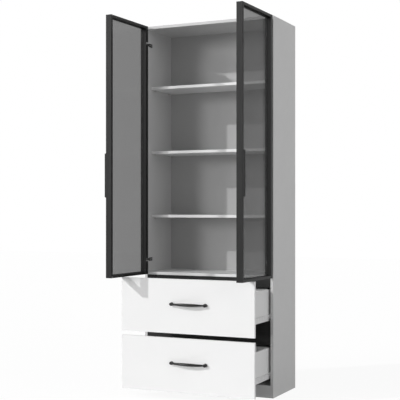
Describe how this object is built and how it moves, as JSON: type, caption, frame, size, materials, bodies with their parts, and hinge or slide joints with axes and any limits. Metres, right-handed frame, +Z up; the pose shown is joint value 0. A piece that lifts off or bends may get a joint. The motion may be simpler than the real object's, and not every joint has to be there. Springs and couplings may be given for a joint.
{
  "type": "glazed display bookcase",
  "caption": "Tall white display bookcase with black-framed tinted glass doors standing open over shelved bays, and open drawers below on roller runners.",
  "frame": {"origin": "middle of the carcass's front edge, on the floor", "axes": "+Z up, +Y to the back, +X to the right as seen from the front"},
  "size_m": [0.7884, 0.738, 2],
  "materials": {
    "white_board": "white melamine-faced particle board, matt",
    "white_back_board": "white-faced thin fibreboard",
    "drawer_board": "white foil-wrapped board",
    "black_rail": "black-brown melamine board, satin",
    "black_frame": "black-brown foil-wrapped profile, satin",
    "tinted_glass": "smoke-tinted toughened glass",
    "glass_bead": "matt black glazing bead",
    "bumper_rubber": "soft bumper",
    "black_handle": "satin black paint",
    "black_pull": "satin black paint",
    "hinge_steel": "dark painted steel",
    "white_runner": "white powder-coated sheet steel",
    "roller_plastic": "smooth nylon",
    "bright_steel": "zinc-plated steel"
  },
  "bodies": {
    "carcass": {"left_side": "white_board", "right_side": "white_board", "top_panel": "white_board", "display_floor": "white_board", "base_panel": "white_board", "front_kick_board": "white_board", "rear_kick_board": "white_board", "upper_back": "white_back_board", "lower_back": "white_back_board", "upper_rail": "black_rail", "middle_rail": "black_rail", "low_shelf": "white_board", "mid_shelf": "white_board", "high_shelf": "white_board", "shelf_pins": "bright_steel", "cam_locks": "bright_steel", "fixing_screws": "bright_steel", "upper_cabinet_runners": "white_runner", "lower_cabinet_runners": "white_runner", "left_hinge_arms": "hinge_steel", "right_hinge_arms": "hinge_steel"},
    "left_door": {"left_door_hinge_stile": "black_frame", "left_door_free_stile": "black_frame", "left_door_top_rail": "black_frame", "left_door_bottom_rail": "black_frame", "left_door_glass": "tinted_glass", "left_door_bead": "glass_bead", "left_door_handle": "black_handle", "left_door_pins": "bright_steel", "left_door_bumpers": "bumper_rubber"},
    "right_door": {"right_door_hinge_stile": "black_frame", "right_door_free_stile": "black_frame", "right_door_top_rail": "black_frame", "right_door_bottom_rail": "black_frame", "right_door_glass": "tinted_glass", "right_door_bead": "glass_bead", "right_door_handle": "black_handle", "right_door_pins": "bright_steel", "right_door_bumpers": "bumper_rubber"},
    "upper_drawer": {"upper_drawer_front": "white_board", "upper_drawer_left_side": "drawer_board", "upper_drawer_right_side": "drawer_board", "upper_drawer_back": "drawer_board", "upper_drawer_bottom": "drawer_board", "upper_drawer_pull": "black_pull", "upper_pull_screws": "bright_steel", "upper_drawer_runners": "white_runner"},
    "lower_drawer": {"lower_drawer_front": "white_board", "lower_drawer_left_side": "drawer_board", "lower_drawer_right_side": "drawer_board", "lower_drawer_back": "drawer_board", "lower_drawer_bottom": "drawer_board", "lower_drawer_pull": "black_pull", "lower_pull_screws": "bright_steel", "lower_drawer_runners": "white_runner"},
    "upper_front_roller_pair": {"upper_front_rollers": "roller_plastic"},
    "upper_rear_roller_pair": {"upper_rear_rollers": "roller_plastic"},
    "lower_front_roller_pair": {"lower_front_rollers": "roller_plastic"},
    "lower_rear_roller_pair": {"lower_rear_rollers": "roller_plastic"}
  },
  "joints": [
    {"name": "left_door_swing", "type": "hinge", "parent": "carcass", "child": "left_door", "pos_m": [-0.37325, -0.02575, 1.313], "axis": [0, 0, 1], "range_deg": [-18.25, 91.75]},
    {"name": "right_door_swing", "type": "hinge", "parent": "carcass", "child": "right_door", "pos_m": [0.37325, -0.02575, 1.313], "axis": [0, 0, 1], "range_deg": [-88.5, 21.5]},
    {"name": "upper_drawer_slide", "type": "slide", "parent": "carcass", "child": "upper_drawer", "axis": [0, -1, 0], "range_m": [-0.2425, 0.005]},
    {"name": "upper_front_roller_spin", "type": "hinge", "parent": "carcass", "child": "upper_front_roller_pair", "pos_m": [0, 0.01, 0.42695], "axis": [1, 0, 0], "range_deg": [-1742, 41]},
    {"name": "upper_rear_roller_spin", "type": "hinge", "parent": "upper_drawer", "child": "upper_rear_roller_pair", "pos_m": [0, 0.0315, 0.42405], "axis": [1, 0, 0], "range_deg": [-1742, 41]},
    {"name": "lower_drawer_slide", "type": "slide", "parent": "carcass", "child": "lower_drawer", "axis": [0, -1, 0], "range_m": [-0.2425, 0.005]},
    {"name": "lower_front_roller_spin", "type": "hinge", "parent": "carcass", "child": "lower_front_roller_pair", "pos_m": [0, 0.01, 0.12195], "axis": [1, 0, 0], "range_deg": [-1742, 41]},
    {"name": "lower_rear_roller_spin", "type": "hinge", "parent": "lower_drawer", "child": "lower_rear_roller_pair", "pos_m": [0, 0.0315, 0.11905], "axis": [1, 0, 0], "range_deg": [-1742, 41]}
  ],
  "couplings": [
    {"joint": "upper_front_roller_spin", "follows": "upper_drawer_slide", "rad_per_m": 125},
    {"joint": "upper_rear_roller_spin", "follows": "upper_drawer_slide", "rad_per_m": 125},
    {"joint": "lower_front_roller_spin", "follows": "lower_drawer_slide", "rad_per_m": 125},
    {"joint": "lower_rear_roller_spin", "follows": "lower_drawer_slide", "rad_per_m": 125}
  ]
}
